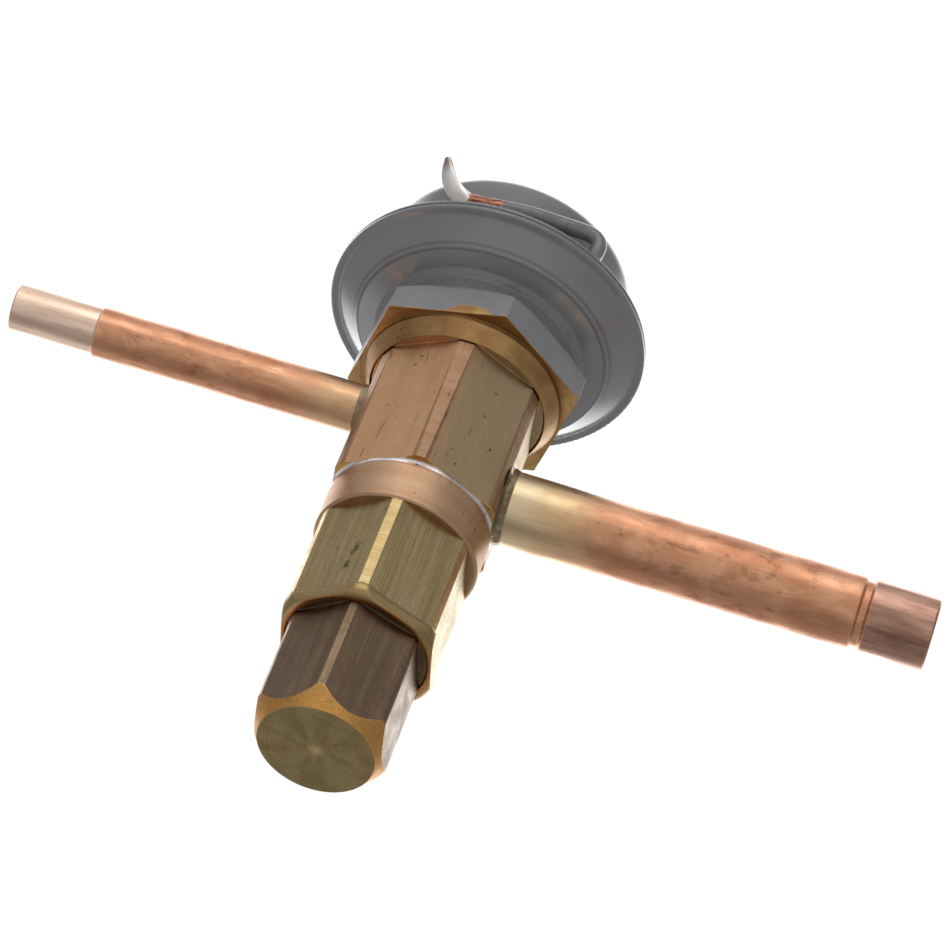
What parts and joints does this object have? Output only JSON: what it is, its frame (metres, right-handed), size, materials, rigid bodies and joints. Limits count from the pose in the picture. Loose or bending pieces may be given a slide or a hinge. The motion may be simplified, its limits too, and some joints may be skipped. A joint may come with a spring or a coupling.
{
  "type": "pressure regulating valve",
  "caption": "Refrigeration pressure regulating valve with brazed copper tubes, a domed diaphragm element, and an adjusting spring under a hexagon seal cap.",
  "frame": {"origin": "centre of the seal cap's flat end face, on the valve axis", "axes": "+Z along the valve axis towards the dome, +X along the outlet tube"},
  "size_m": [0.1899, 0.0644, 0.1355],
  "materials": {
    "copper_tan_metal": "satin",
    "copper": "satin",
    "braze_alloy": "satin",
    "stainless_steel": "satin",
    "brass": "satin",
    "soft_copper": "matte",
    "grey_enamel": "gloss",
    "enamelled_copper": "gloss",
    "spring_steel": "satin",
    "packing_compound": "matte",
    "gasket_sheet": "matte"
  },
  "bodies": {
    "valve": {"valve_body": "copper_tan_metal", "inlet_tube": "copper", "outlet_tube": "copper", "inlet_braze": "braze_alloy", "outlet_braze": "braze_alloy", "valve_seat": "stainless_steel", "spring_housing": "brass", "housing_gasket": "soft_copper", "stem_packing": "packing_compound", "packing_follower": "brass", "packing_gland": "brass", "element_nut": "brass", "element_gasket": "soft_copper", "lower_case": "grey_enamel", "upper_case": "grey_enamel", "charging_tube": "enamelled_copper", "diaphragm": "stainless_steel", "adjusting_spring": "spring_steel"},
    "pin_assembly": {"pin_carrier": "brass", "valve_pin": "stainless_steel", "push_rod_front": "stainless_steel", "push_rod_back": "stainless_steel", "buffer_plate": "stainless_steel"},
    "stem": {"adjusting_stem": "stainless_steel"},
    "guide": {"spring_guide": "brass"},
    "cap_washer": {"cap_gasket": "gasket_sheet"},
    "cap": {"seal_cap": "brass"}
  },
  "joints": [
    {"name": "pin_travel", "type": "slide", "parent": "valve", "child": "pin_assembly", "axis": [0, 0, -1], "range_m": [0, 0.001], "deforming": ["diaphragm"]},
    {"name": "stem_turn", "type": "hinge", "parent": "valve", "child": "stem", "pos_m": [0, 0, 0.03], "axis": [0, 0, 1], "range_deg": [0, 1800]},
    {"name": "guide_travel", "type": "slide", "parent": "valve", "child": "guide", "axis": [0, 0, 1], "range_m": [0, 0.005], "deforming": ["adjusting_spring"]},
    {"name": "cap_travel", "type": "slide", "parent": "valve", "child": "cap_washer", "axis": [0, 0, -1], "range_m": [0, 0.012]},
    {"name": "cap_turn", "type": "hinge", "parent": "cap_washer", "child": "cap", "pos_m": [0, 0, 0.01], "axis": [0, 0, 1], "range_deg": [0, 2880]}
  ],
  "couplings": [
    {"joint": "guide_travel", "follows": "stem_turn", "m_per_rad": 0.00015915},
    {"joint": "cap_travel", "follows": "cap_turn", "m_per_rad": 0.00023873}
  ]
}
